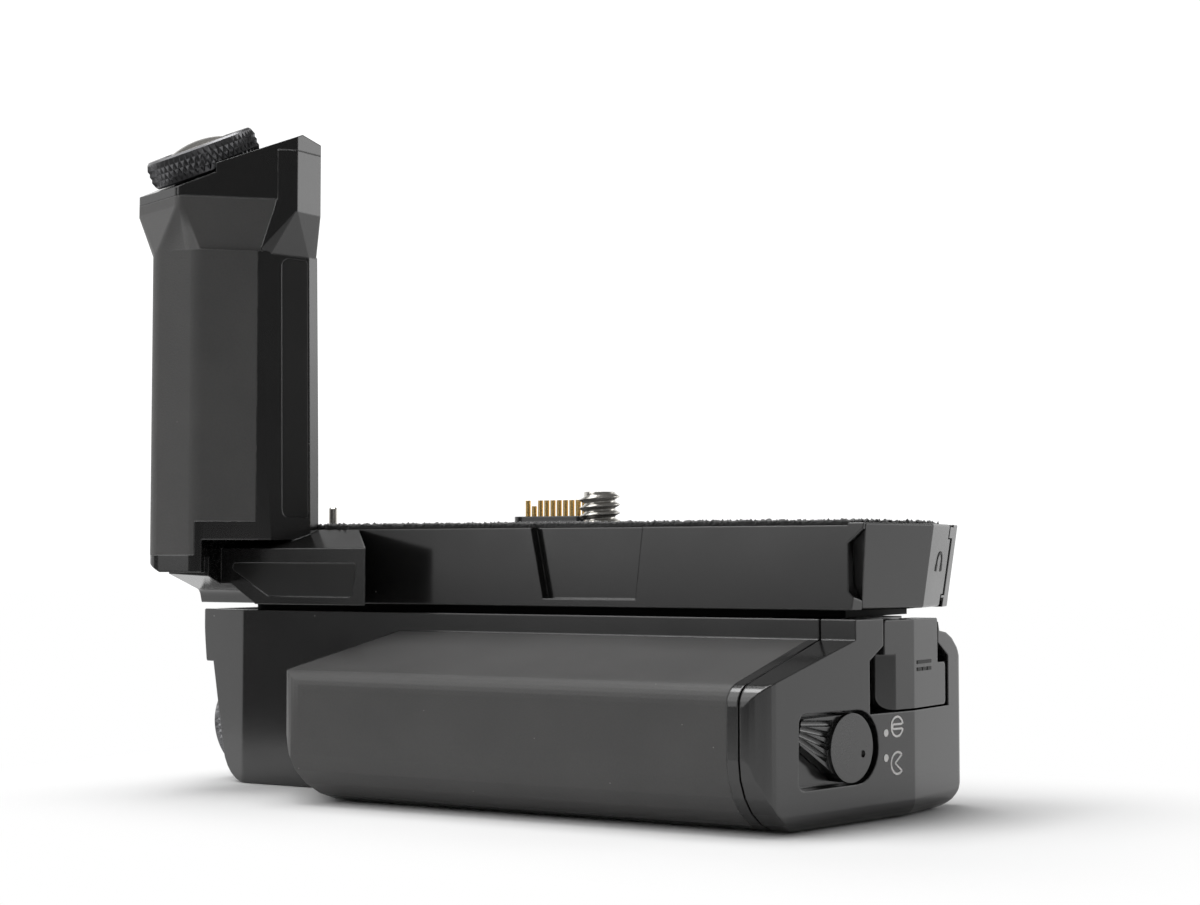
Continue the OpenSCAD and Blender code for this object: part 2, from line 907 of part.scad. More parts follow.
// Moulded column, foot and root block, fixed to the plate's front face
module handgrip_shell() {
    color([0.1, 0.1, 0.11])
    difference() {
        union() {
            difference() {
                grip_form();
                span([-far, -far, rubber_top], [far, far, far]);
                difference() {
                    rubber_zone();
                    grip_form(rubber_t);
                }
                // Below the column's right half only the foot goes down
                prism_z(
                    [
                        [-foot_right, -34], [0, -34], [0, -plate_front + 1], [-foot_right_in, -plate_front + 1],
                        [-foot_right_in, -root_front]
                    ],
                    foot_low - 1, z_shell - 1.7
                );
                // Lower left corner of the column
                prism_y(
                    [[-far, foot_low - 1], [-58.2, foot_low - 1], [-64.2, foot_low + 2.2], [-far, foot_low + 2.2]],
                    -far, far
                );
            }
            intersection() {
                head_form();
                spine_zone(0);
            }
            root_block();
            foot_wedge();
        }
        cap_cuts();
        inlay_panel(1);
        root_panel(1);
        span([-far, -plate_front, -far], [far, far, far]);
    }
}

module handgrip_cap() {
    color([0.08, 0.08, 0.09]) {
        difference() {
            head_form();
            span([-far, -far, -far], [far, far, rubber_top]);
            spine_zone(0);
            cap_cuts();
            on_dial()
                drum(button_r + running, -button_deep - button_travel - 0.1, far);
        }
        // Post that the dial turns on
        on_dial()
            difference() {
                drum(dial_post_r, -ledge_deep - 1, dial_post_high);
                drum(button_r + running, -far, far);
            }
    }
}

module handgrip_rubber() {
    color([0.14, 0.14, 0.15])
    intersection() {
        difference() {
            grip_form();
            grip_form(rubber_t);
        }
        rubber_zone();
    }
}

// Panel let into the column's inner side
module inlay_panel(out = 0) {
    low = inlay_low - foot_low;
    high = inlay_high - foot_low;
    on_inner_side()
        prism_x(
            rounded(
                [[inlay_front, low], [inlay_back, low], [inlay_back, high], [inlay_front, high]],
                [1.2, 0.6, 0.6, 1.2]
            ),
            -inlay_t, out
        );
}

module handgrip_inlay() {
    color([0.13, 0.13, 0.14])
    inlay_panel();
}

module root_panel(out = 0) {
    prism_y(rounded(root_inlay, [0.4, 0.4, 1, 1, 0.4]), -root_front - out, -root_front + inlay_t);
}

module root_inlay() {
    color([0.13, 0.13, 0.14])
    root_panel();
}

module knurl(r, count, z0, z1, cut) {
    for (i = [0:count - 1])
        rotate(i * 360 / count)
            translate([r + cut * 0.35, 0, z0])
                rotate(45)
                    cylinder(r = cut, h = z1 - z0, $fn = 4);
}

module control_dial() {
    color([0.06, 0.06, 0.06])
    on_dial()
        difference() {
            union() {
                drum(dial_r - 0.4, -ledge_deep + 0.2, dial_high - ledge_deep);
                drum(dial_r, -ledge_deep + 0.6, dial_high - ledge_deep - 0.4);
            }
            drum(dial_post_r + running, -far, far);
            knurl(dial_r, 48, -ledge_deep, dial_high, 0.5);
        }
}

module shutter_button() {
    color([0.78, 0.77, 0.74])
    on_dial() {
        drum(button_r, -button_deep, button_top);
        translate([0, 0, button_top])
            intersection() {
                drum(button_r, 0, 2);
                translate([0, 0, 0.9 - 12.2])
                    sphere(12.2);
            }
    }
}

// Lower unit

module wall_solid() {
    intersection() {
        prism_z(rounded(body_plan, body_plan_r), z_floor, z_body);
        prism_x(rounded(wall_side, wall_side_r), -far, far);
        prism_y(rounded(wall_front, wall_front_r), -far, far);
    }
}

module grip_solid(d = 0) {
    difference() {
        intersection() {
            prism_z(formed(grip_plan, grip_plan_r, d), z_floor, z_body);
            prism_x(formed(grip_side, grip_side_r, d), -far, far);
        }
        bottom_edge([-grip_corner, -grip_front], grip_left_az, bottom_r, d);
        translate(shoulder_at)
            rotate([0, shoulder_tilt, shoulder_az])
                translate([-far, -far, -d])
                    cube(2 * far);
    }
}

// What rounding the bottom edge along a wall takes off; the wall passes at and faces az from the front
module bottom_edge(at, az, r, d = 0) {
    translate([at.x, at.y, z_floor])
        rotate([0, 0, az - 90])
            prism_y(
                concat(
                    [[-far, -1], [-far, d]], corner([-far, d], [-d, d], [-d, far], r - d),
                    [[-d, far], [1, far], [1, -1]]
                ),
                -far, far
            );
}

module end_bottom_edges() {
    for (az = [body_az, body_az_back])
        bottom_edge([body_right, end_ridge_y], az, end_bottom_r);
}

module lower_solid() {
    difference() {
        union() {
            wall_solid();
            grip_solid();
        }
        end_bottom_edges();
    }
}

// Everything right of the end cover's seam, moved left by d
module end_zone(d = 0) {
    prism_z(
        [
            seam[0] - [d, 0] + (seam[0] - seam[1]), [far, -far], [far, far], seam[2] - [d, 0] + (seam[2] - seam[1]),
            seam[1] - [d, 0]
        ],
        z_floor - 1, z_body + 1
    );
}

module front_rubber_zone() {
    difference() {
        span([-far, -far, rubber_floor], [far, -body_front - 0.2, far]);
        end_zone(rim_wide + seam_gap);
    }
}

// T-shaped outline of the jack tower, grown by g, as [y, z]
function tower_outline(g) = [
    [dc_wide[0] - dc_finger - g, dc_low - g], [dc_wide[1] + dc_side_gap + g, dc_low - g],
    [dc_wide[1] + dc_side_gap + g, dc_shoulder - 1 + g], [dc_neck[1] + g, dc_shoulder + 1 + g],
    [dc_neck[1] + g, z_body + 1], [dc_neck[0] - g, z_body + 1], [dc_neck[0] - g, dc_shoulder + 1 + g],
    [dc_wide[0] - dc_finger - g, dc_shoulder - 1 + g]
];

module jack_tower() {
    difference() {
        intersection() {
            lower_solid();
            prism_x(tower_outline(0), seam[0].x, dc_axis_x - 2.6);
            span([-far, -far, dc_low + 0.8], [far, far, far]);
        }
        translate([0, dc_jack_y, dc_jack_z])
            rotate([0, 90, 0])
                cylinder(r = dc_jack_r, h = far);
    }
    // Lug between the two knuckles of the cover
    difference() {
        union() {
            translate([dc_axis_x, dc_lug[0], dc_axis_z])
                rotate([-90, 0, 0])
                    cylinder(r = 1.1, h = dc_lug[1] - dc_lug[0]);
            span([dc_axis_x - 3, dc_lug[0], dc_axis_z - 1.1], [dc_axis_x, dc_lug[1], dc_axis_z + 1.1]);
        }
        dc_pin_hole(dc_pin_r);
    }
}

module dc_pin_hole(r) {
    translate([dc_axis_x, dc_neck[0] + 5, dc_axis_z])
        rotate([-90, 0, 0])
            cylinder(r = r, h = dc_neck[1] - dc_neck[0] - 6);
}

module drawer_space() {
    span(
        [tray_x0 - 1.2, tray_front - clear, tray_floor - clear],
        [far, tray_back + clear, battery_z + battery_high + 0.4]
    );
}

module on_left_wall() {
    translate([portrait_x, portrait_y, portrait_z])
        rotate([0, -90 - portrait_tilt, 0])
            children();
}

module body_shell() {
    color([0.09, 0.09, 0.1]) {
        difference() {
            union() {
                wall_solid();
                grip_solid(rubber_t);
                difference() {
                    grip_solid();
                    front_rubber_zone();
                }
            }
            end_zone(seam_gap);
            drawer_space();
            prism_z(formed(lid_plan(), [2, 0, 0, 2, 2, 1], 0), z_body - lid_t, far);
            translate([coupling_x, coupling_y, 0])
                drum(coupling_r + 0.5, coupling_low - clear, coupling_top + clear);
            translate([coupling_x, coupling_y, 0])
                drum(stud_r + running, coupling_low - 2.5, far);
            translate([socket_x, socket_y, 0])
                drum(5, z_floor - 1, z_floor + socket_deep + 1);
            on_left_wall() {
                drum(portrait_r + 0.4, -1.5, far);
                drum(portrait_hub_r + running, -6, far);
            }
            on_back_wall(rear_x, rear_z) {
                drum(rear_r + 0.4, -2, far);
                drum(2 + running, -6, far);
            }
            for (x = fn_x)
                on_back_wall(x, fn_z)
                    drum(fn_r + running, -3.5, far);
            translate([0, dc_jack_y, dc_jack_z])
                translate([seam[0].x - 6, 0, 0])
                    rotate([0, 90, 0])
                        cylinder(r = dc_jack_r, h = far);
            body_screw_places()
                drum(1.8, z_floor - 1, z_floor + 1.2);
        }
        jack_tower();
    }
}

// Frame on the back wall: z points out of the back
module on_back_wall(x, z) {
    translate([x, back, z])
        rotate([-90, 0, 0])
            children();
}

function lid_plan() = [
    [-left_corner_x, -body_front + 1.4], [seam[0].x - clear, -body_front + 1.4], [seam[0].x - clear, step_y - 1.4],
    [-body_left + 1.6, step_y - 1.4], [-body_left + 1.6, -body_front + left_facet_in + 1], [-left_corner_x - 1,
    -body_front + 1.5]
];

// Lid with the raised boss that the plate stands on
module body_lid() {
    color([0.1, 0.1, 0.11])
    difference() {
        union() {
            prism_z(formed(lid_plan(), [2, 0, 0, 2, 2, 1], 0), z_body - lid_t, z_body);
            prism_z(rounded(boss, [3, 3, 3, 3]), z_body - 0.01, z_plate);
        }
        translate([coupling_x, coupling_y, 0])
            drum(stud_r + running, -far, far);
        link_places()
            span([-0.6, -1.5, z_body - lid_t], [0.6, 1.5, far]);
    }
}

module link_places() {
    for (i = [0:5])
        translate([coupling_x + 5 + i * 1.8, -3, 0])
            children();
}

// Spring contacts that join the two units' circuits
module link_contacts() {
    color([0.83, 0.66, 0.3])
    link_places()
        span([-0.6, -1.5, z_body - lid_t], [0.6, 1.5, z_plate]);
}

module front_rubber() {
    color([0.14, 0.14, 0.15])
    intersection() {
        difference() {
            grip_solid();
            grip_solid(rubber_t);
        }
        front_rubber_zone();
        span([-far, -far, -far], [far, -body_front - 0.2, far]);
    }
}

// Frame on the front facet at the lock lever: x along the facet to the right, y up, z outwards
module on_facet() {
    translate([facet_x(lever_y), lever_y, lever_z])
        rotate([0, 0, body_az])
            rotate([90, 0, 0])
                children();
}

module end_cover() {
    color([0.09, 0.09, 0.1])
    difference() {
        intersection() {
            lower_solid();
            end_zone();
        }
        prism_x(tower_outline(clear), 0, far);
        on_facet() {
            translate([0, 0, -lever_deep])
                linear_extrude(far)
                    polygon(rounded(lever_recess, lever_recess_r));
            drum(lever_shaft_r + running, -far, 0);
        }
        // Pocket for the cam on the inner face
        intersection() {
            on_facet()
                drum(6.5, -far, -lever_deep - 1.1);
            end_zone();
        }
    }
}

module battery_tray() {
    color([0.2, 0.2, 0.21])
    difference() {
        span(
            [tray_x0, tray_front, tray_floor],
            [far, tray_back, tray_floor + tray_wall + battery_high * 0.8]
        );
        span(
            [tray_x0 + tray_wall, tray_front + tray_wall, tray_floor + tray_wall],
            [far, tray_back - tray_wall, far]
        );
        end_zone();
        // The deep end is open towards the battery's contacts
        span([-far, tray_front + 6, tray_floor + 3], [tray_x0 + 2, tray_back - 6, far]);
    }
}

module battery_pack() {
    color([0.17, 0.17, 0.18])
    translate([battery_x0, tray_front + tray_wall + 0.1, battery_z])
        difference() {
            prism_x(
                rounded(
                    [[0, 0], [battery_wide, 0], [battery_wide, battery_high], [0, battery_high]],
                    [1.5, 1.5, 1.5, 1.5]
                ),
                0, battery_long
            );
            for (i = [0:3])
                span([-1, 8 + 4 * i, 2.5], [0.4, 10.5 + 4 * i, 6]);
        }
}

module battery_contacts() {
    color([0.83, 0.66, 0.3])
    translate([tray_x0 - 1.2, tray_front + tray_wall, battery_z])
        for (i = [0:3])
            span([0, 8.7 + 4 * i, 3.5], [battery_x0 - tray_x0 + 1.45, 9.9 + 4 * i, 5.2]);
}

// Disc and ridged arm; the arm lies lower than the disc
module lock_lever() {
    color([0.09, 0.09, 0.1])
    on_facet() {
        difference() {
            drum(lever_r, -lever_deep + 0.15, 0.1);
            translate(lever_dimple)
                drum(0.5, -0.2, far);
        }
        drum(lever_shaft_r, -lever_deep - 1.1, -lever_deep + 0.2);
        rotate(lever_rest)
            difference() {
                prism_z(
                    [[0, -lever_r], [lever_reach, -1.7], [lever_reach, 1.7], [0, lever_r]],
                    -lever_deep + 0.15, -0.5
                );
                for (i = [-1.5:1.5])
                    translate([lever_reach + 0.1, i * lever_groove_step, -0.4])
                        rotate([0, -90, -i * lever_groove_fan])
                            cylinder(r = lever_groove_r, h = lever_reach - lever_r + 0.6, $fn = 16);
            }
    }
}

module lock_cam() {
    color([0.7, 0.7, 0.72])
    intersection() {
        on_facet() {
            drum(3.6, -far, -lever_deep - 1.3);
            rotate(lever_rest - 70)
                span([0, -1.6, -far], [6, 1.6, -lever_deep - 1.3]);
            drum(lever_shaft_r, -far, -lever_deep - 1.1);
        }
        end_zone(-clear);
    }
}

module dc_cover() {
    color([0.11, 0.11, 0.12])
    difference() {
        intersection() {
            lower_solid();
            prism_x(
                rounded(
                    [
                        [dc_wide[0], dc_low], [dc_wide[1], dc_low], [dc_wide[1], dc_shoulder - 1.6],
                        [dc_neck[1], dc_shoulder - 1.6], [dc_neck[1], z_body - 0.2], [dc_neck[0], z_body - 0.2]
                    ],
                    [2, 0.6, 0.6, 0, 0.4, 0.4]
                ),
                dc_axis_x - 1.2, far
            );
        }
        // Bevel along the front edge
        intersection() {
            beyond([facet_x(dc_bevel_y), dc_bevel_y, 0], body_az - 25);
            span([-far, -far, -far], [far, far, dc_shoulder]);
        }
        // Thinner above the axis, so that the top edge can swing in
        span([dc_axis_x - 2, -far, dc_axis_z], [dc_axis_x - 0.8, far, far]);
        span(
            [dc_axis_x - 3, dc_lug[0] - clear, dc_axis_z - 3],
            [dc_axis_x + 1.1 + clear, dc_lug[1] + clear, far]
        );
        dc_pin_hole(dc_pin_r + running);
    }
}

module dc_pin() {
    color([0.7, 0.7, 0.72])
    dc_pin_hole(dc_pin_r);
}

module dc_jack() {
    color([0.2, 0.2, 0.2])
    translate([seam[0].x - 6, dc_jack_y, dc_jack_z])
        rotate([0, 90, 0]) {
            difference() {
                drum(dc_jack_r, 0, dc_axis_x - 2.6 - seam[0].x + 6);
                drum(2.75, 2, far);
            }
            drum(0.8, 1, dc_axis_x - 4 - seam[0].x + 6);
        }
}

module portrait_dial() {
    color([0.06, 0.06, 0.06])
    on_left_wall()
        difference() {
            union() {
                drum(portrait_r - 0.4, -1.2, portrait_proud);
                drum(portrait_r, -0.8, portrait_proud - 0.4);
                drum(portrait_hub_r, -4, 0);
            }
            drum(fn_r + 0.6 + running, -far, far);
            knurl(portrait_r, 44, -1.5, portrait_proud + 1, 0.5);
        }
}

module portrait_button() {
    color([0.1, 0.1, 0.11])
    on_left_wall()
        drum(fn_r + 0.6, -4, portrait_proud + 0.5);
}

module rear_dial() {
    color([0.06, 0.06, 0.06])
    on_back_wall(rear_x, rear_z)
        difference() {
            union() {
                drum(rear_r, -1.7, rear_proud);
                drum(2, -5, 0);
            }
            knurl(rear_r, 40, -2, rear_proud + 1, 0.5);
        }
}

module fn_button(i) {
    color([0.1, 0.1, 0.11])
    on_back_wall(fn_x[i], fn_z) {
        drum(fn_r, -2.6, 0.5);
        translate([0, 0, 0.5])
            cylinder(r1 = fn_r, r2 = fn_r - 0.3, h = 0.3);
    }
}

module fn_button_1() {
    fn_button(0);
}

module fn_button_2() {
    fn_button(1);
}

module coupling_wheel() {
    color([0.2, 0.2, 0.21])
    translate([coupling_x, coupling_y, 0]) {
        difference() {
            drum(coupling_r, coupling_low, coupling_top);
            knurl(coupling_r, 48, coupling_low - 1, coupling_top + 1, 0.5);
        }
        drum(stud_r, coupling_low - 2, z_plate + cover_thick - 0.1);
    }
}

module tripod_socket() {
    color([0.72, 0.6, 0.35])
    translate([socket_x, socket_y, 0])
        difference() {
            drum(5, z_floor, z_floor + socket_deep + 1);
            drum(socket_r, z_floor - 1, z_floor + socket_deep);
        }
}

module body_screw_places() {
    for (p = [[-50, -8], [-50, 5], [-19, 5], [34, 5]])
        translate(p)
            children();
}

module body_screws() {
    color([0.25, 0.25, 0.27])
    body_screw_places()
        difference() {
            drum(1.8, z_floor + 0.2, z_floor + 1.2);
            for (a = [0, 90])
                rotate(a)
                    span([-1.1, -0.25, z_floor], [1.1, 0.25, z_floor + 0.7]);
        }
}

base_plate();
plate_cover();
seat_pad();
camera_screw();
screw_bush();
thumb_wheel();
contact_block();
contact_pins();
locating_pin();
plate_screws();
headphone_cover();
headphone_pin();
headphone_jack();
handgrip_shell();
handgrip_cap();
handgrip_rubber();
handgrip_inlay();
root_inlay();
control_dial();
shutter_button();
body_shell();
body_lid();
front_rubber();
end_cover();
battery_tray();
battery_pack();
battery_contacts();
lock_lever();
lock_cam();
dc_cover();
dc_pin();
dc_jack();
portrait_dial();
portrait_button();
rear_dial();
fn_button_1();
fn_button_2();
coupling_wheel();
link_contacts();
tripod_socket();
body_screws();
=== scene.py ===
# %% [markdown]
# # A camera battery grip
# The grip has two units. The upper one carries the camera on a seat plate and has an upright handgrip, and
# the lower one holds the battery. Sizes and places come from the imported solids, so each piece made here only
# has to follow a solid. The lesson sets up the camera, then the finishes, then the pieces, and lights them
# at the end.

import json
import math
import random

import bmesh
import bpy
from mathutils import Euler, Matrix, Vector


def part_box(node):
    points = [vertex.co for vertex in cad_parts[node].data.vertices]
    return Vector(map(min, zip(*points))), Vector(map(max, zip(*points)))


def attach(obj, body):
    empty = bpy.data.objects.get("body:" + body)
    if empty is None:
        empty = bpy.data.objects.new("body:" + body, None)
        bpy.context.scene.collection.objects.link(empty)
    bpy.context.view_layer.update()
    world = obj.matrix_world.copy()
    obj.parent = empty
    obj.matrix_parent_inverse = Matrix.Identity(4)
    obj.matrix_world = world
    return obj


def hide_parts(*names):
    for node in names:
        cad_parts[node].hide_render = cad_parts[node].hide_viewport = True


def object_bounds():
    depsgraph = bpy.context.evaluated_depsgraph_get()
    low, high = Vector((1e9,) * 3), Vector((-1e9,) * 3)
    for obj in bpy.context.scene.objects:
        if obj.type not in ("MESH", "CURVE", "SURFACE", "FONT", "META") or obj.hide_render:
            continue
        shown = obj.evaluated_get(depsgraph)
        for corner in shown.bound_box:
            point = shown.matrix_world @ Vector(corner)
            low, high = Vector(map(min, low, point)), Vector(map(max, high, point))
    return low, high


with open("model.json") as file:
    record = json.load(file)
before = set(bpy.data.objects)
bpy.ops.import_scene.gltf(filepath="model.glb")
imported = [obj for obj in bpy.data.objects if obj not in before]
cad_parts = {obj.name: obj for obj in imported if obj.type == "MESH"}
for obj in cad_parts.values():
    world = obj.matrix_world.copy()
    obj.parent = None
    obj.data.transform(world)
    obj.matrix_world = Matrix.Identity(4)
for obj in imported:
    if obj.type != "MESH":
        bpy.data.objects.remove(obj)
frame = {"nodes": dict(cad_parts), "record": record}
cad_low, cad_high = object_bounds()
nodes = frame["nodes"]
record = frame["record"]
body_of = {node: body for body, members in record["behaviour"]["bodies"].items() for node in members}
slot_of = {part["node"]: part["material_slot"] for part in record["subparts"]}
joint_of = {joint["name"]: joint for joint in record["behaviour"]["joints"]}
MM = 0.001
print(len(nodes), "solids, from", cad_low, "to", cad_high)

# %% [markdown]
# ## Camera
# The photograph is taken from the right of the handgrip, a little below the middle of the object, with a
# longish lens. The place and the angle below were measured from edges whose true lengths are known.

# %% Camera
lens = bpy.data.cameras.new("photo_camera")
lens.sensor_fit = "HORIZONTAL"
lens.sensor_width = 36
lens.lens = 61.8
lens.clip_start = 0.01
camera = bpy.data.objects.new("photo_camera", lens)
camera.location = Vector((159.54, -276.24, -4.83)) * MM
camera.rotation_euler = Euler((math.radians(92.9), 0, math.radians(30)))
bpy.context.scene.collection.objects.link(camera)
bpy.context.scene.camera = camera
print("camera at", camera.location)

# %% [markdown]
# ## Shader sums
# Finishes are sums over noise, distance and height. Wrapping a socket in a small class lets them be written
# as plain Python expressions: every operator adds one Math node, and `make` adds any other node.


# %% A value on a surface
class Value:
    """An output socket. Sums on it add Math nodes, and make() adds any other node."""

    def __init__(self, socket):
        self.socket = socket
        self.tree = socket.id_data

    def make(self, kind, inputs, output=0, **settings):
        made = self.tree.nodes.new("ShaderNode" + kind)
        for name, setting in settings.items():
            setattr(made, name, setting)
        for name, value in inputs.items():
            if isinstance(value, Value):
                self.tree.links.new(value.socket, made.inputs[name])
            else:
                made.inputs[name].default_value = value
        return Value(made.outputs[output])

    def sum(self, operation, *values):
        return self.make("Math", dict(enumerate(values)), operation=operation)

    def __add__(self, other):
        return self.sum("ADD", self, other)

    def __sub__(self, other):
        return self.sum("SUBTRACT", self, other)

    def __rsub__(self, other):
        return self.sum("SUBTRACT", other, self)

    def __mul__(self, other):
        return self.sum("MULTIPLY", self, other)

    def __lt__(self, other):
        return self.sum("LESS_THAN", self, other)

    def __abs__(self):
        return self.sum("ABSOLUTE", self)

    def most(self, other):
        return self.sum("MAXIMUM", self, other)

    __radd__ = __add__
    __rmul__ = __mul__

    def rise(self, low, high):
        """0 below low, 1 above high, and a smooth step between them."""
        inputs = {"Value": self, "From Min": low, "From Max": high}
        return self.make("MapRange", inputs, interpolation_type="SMOOTHSTEP")

    def part(self, axis):
        """One coordinate of a vector."""
        return self.make("SeparateXYZ", {0: self}, output=axis)

    def noise(self, scale, detail=2.0, rough=0.5):
        inputs = {"Vector": self, "Scale": scale, "Detail": detail, "Roughness": rough}
        return self.make("TexNoise", inputs)

    def tint(self, dark, light):
        """A colour between two, as this value goes from 0 to 1."""
        return self.make("Mix", {0: self, 6: dark, 7: light}, output=2, data_type="RGBA")


print("sums are ready")

# %% [markdown]
# ## Finishes
# Nearly everything here is black, so the finishes differ by gloss, grain and dirt rather than by colour.
# Each starts from a Principled shader and the surface's own Object coordinates, taken in millimetres, so
# that a grain of 0.3 mm is written as 0.3.


# %% A bare finish
def finish(name, colour, roughness, metallic=0.0, specular=0.5):
    """A material, its shader and the surface point in millimetres."""
    material = bpy.data.materials.new(name)
    material.use_nodes = True
    shader = material.node_tree.nodes["Principled BSDF"]
    shader.inputs["Base Color"].default_value = colour
    shader.inputs["Roughness"].default_value = roughness
    shader.inputs["Metallic"].default_value = metallic
    shader.inputs["Specular IOR Level"].default_value = specular
    places = Value(material.node_tree.nodes.new("ShaderNodeTexCoord").outputs["Object"])
    point = places.make("VectorMath", {0: places, "Scale": 1 / MM}, operation="SCALE")
    return material, shader, point


def feed(shader, name, value):
    shader.id_data.links.new(value.socket, shader.inputs[name])


def grey(level, warm=0.0):
    return (level * (1 + warm), level, level * (1 - warm), 1)


def specks(point, spacing, share, size):
    """Dust: one small dot in some of the cells, 1 on a dot."""
    cells = {"Vector": point, "Scale": 1 / spacing}
    away = point.make("TexVoronoi", cells, output="Distance")
    tone = point.make("TexVoronoi", cells, output="Color")
    chance = tone.make("SeparateColor", {0: tone}, output=0)
    return (chance < share) * (1 - away.rise(size / spacing * 0.6, size / spacing))


print("finishes can be made")

# %% [markdown]
# ## Satin plastic and rubber
# The housings are moulded plastic with a fine spark-eroded texture, and the two rubber grips have a coarser
# grain and hold dust. A Bevel node gives the edges a small rounding that catches light. Where the rounded
# and the true normal differ there is an edge, so the same node also tells where hands have worn the black
# paler.


# %% Moulded surfaces
def moulded(name, tone, roughness, grain, depth, dust=0.05, wear=0.3, rounding=0.3, specular=0.5):
    """Moulded plastic or rubber: grain, depth and rounding in mm, dust as a share of cells."""
    material, shader, point = finish(name, grey(tone), roughness, specular=specular)
    broad = point.noise(0.09, 3.0)
    fine = point.noise(1 / grain, 3.0, 0.6)
    edge = point.make("Bevel", {"Radius": rounding * MM}, samples=6)
    flat = Value(material.node_tree.nodes.new("ShaderNodeNewGeometry").outputs["Normal"])
    level = edge.make("VectorMath", {0: edge, 1: flat}, output="Value", operation="DOT_PRODUCT")
    worn = (1 - level).rise(0.04, 0.4) * point.noise(0.6, 3.0).rise(0.4, 0.7) * wear
    bright = specks(point, spacing=2.3, share=dust, size=0.11).most(worn)
    cloudy = (broad * 0.6 + fine * 0.4).tint(grey(tone * 0.75), grey(tone * 1.3, 0.02))
    feed(shader, "Base Color", bright.tint(cloudy, grey(0.22, 0.03)))
    feed(shader, "Roughness", roughness - 0.08 + broad * 0.1 + fine * 0.06 + bright * 0.2)
    bump = point.make("Bump", {"Height": fine, "Distance": depth * MM, "Strength": 1.0, "Normal": edge})
    feed(shader, "Normal", bump)
    return material


shell_finish = moulded("satin_plastic", 0.009, 0.17, 0.16, 0.002, dust=0.1, specular=0.8)
cover_finish = moulded("cover_plastic", 0.011, 0.24, 0.18, 0.003, specular=0.8)
control_finish = moulded("control_plastic", 0.014, 0.24, 0.2, 0.003, dust=0.02, specular=0.9)
lever_finish = moulded("lever_plastic", 0.014, 0.28, 0.2, 0.003, dust=0.02, rounding=0.12, specular=0.9)
inside_finish = moulded("inside_plastic", 0.02, 0.5, 0.3, 0.01, dust=0.0)
inlay_finish = moulded("inlay_panel", 0.014, 0.42, 0.2, 0.010, dust=0.1, specular=0.3)
# Painted light: the handgrip's rubber is the grip rubber painted paler, standing in for more light on the
# handgrip.
handgrip_rubber_painted_light_finish = moulded("handgrip_rubber", 0.085, 0.5, 0.3, 0.04, dust=0.2, specular=0.4)
grip_rubber_finish = moulded("grip_rubber", 0.060, 0.5, 0.3, 0.04, dust=0.3, specular=0.4)
# Painted shade: the covers between the two units are made darker and duller than the shell, as shade in the
# gap.
gap_painted_shade_finish = moulded("gap_plastic_painted_shade", 0.003, 0.6, 0.3, 0.004, dust=0.0, wear=0.0, specular=0.1)
print("plastics and rubber made")

# %% [markdown]
# ## Metals
# The camera screw and the shutter button are bright steel, the pins gilded and the dials black metal. Metal
# shows its finish by how it scatters reflections, so a fine noise goes into the roughness.


# %% Metal finishes
def metal(name, colour, roughness, scale=4.0, depth=0.003):
    material, shader, point = finish(name, colour, roughness, metallic=1.0)
    cloud = point.noise(scale, 4.0, 0.6)
    feed(shader, "Roughness", roughness - 0.08 + cloud * 0.16)
    dirt = cloud.rise(0.62, 0.8)
    dark = tuple(0.45 * channel for channel in colour[:3]) + (1,)
    feed(shader, "Base Color", dirt.tint(colour, dark))
    edge = point.make("Bevel", {"Radius": 0.08 * MM}, samples=4)
    bump = point.make("Bump", {"Height": cloud, "Distance": depth * MM, "Strength": 1.0, "Normal": edge})
    feed(shader, "Normal", bump)
    return material


steel_finish = metal("bright_steel", (0.62, 0.60, 0.56, 1), 0.24)
dark_metal_finish = metal("dark_metal", (0.10, 0.10, 0.105, 1), 0.35)
dial_finish = metal("black_dial", (0.15, 0.15, 0.155, 1), 0.34)
gold_finish = metal("gilded_pin", (0.80, 0.56, 0.23, 1), 0.24)
brass_finish = metal("brass", (0.70, 0.48, 0.20, 1), 0.3)
print("metals made")

# %% [markdown]
# ## Felt
# The seat is covered with a thin black felt. Its fibres are far thinner than a pixel, so the finish gives
# them as a strong noise with a little sheen, and the pad's piece adds the tufts that stand up along the
# edge. The tops of the tufts are painted paler by their height over the seat, a painted highlight where
# the fibres catch the light.

# %% Felt finish
felt_finish, felt_shader, felt_point = finish("felt", grey(0.022), 0.9, specular=0.1)
fibres = felt_point.noise(9.0, 4.0, 0.7)
# Painted highlight: the fibres are paler the higher they stand over the seat, as if they caught the light.
painted_tip_highlight = felt_point.part(2).rise(0.02, 0.4) * fibres.rise(0.3, 0.6)
feed(felt_shader, "Base Color", (fibres * 0.3 + painted_tip_highlight).tint(grey(0.010), grey(0.30)))
felt_bump = fibres.make("Bump", {"Height": fibres, "Distance": 0.12 * MM, "Strength": 1.0})
feed(felt_shader, "Normal", felt_bump)
felt_shader.inputs["Sheen Weight"].default_value = 0.25
felt_shader.inputs["Sheen Roughness"].default_value = 0.4
print("felt made")

# %% [markdown]
# ## Finishes on the solids
# Most solids already have the right shape. They keep it and only get a finish, by the material slot that the
# record gives them. A few nodes have a finish of their own.

# %% Dress the solids
by_slot = {
    "shell": shell_finish,
    "rubber": grip_rubber_finish,
    "pad": felt_finish,
    "control": control_finish,
    "screw": steel_finish,
    "dark_metal": dark_metal_finish,
    "pin": steel_finish,
    "brass": brass_finish,
    "gold": gold_finish,
    "inside": inside_finish,
    "battery": inside_finish,
}
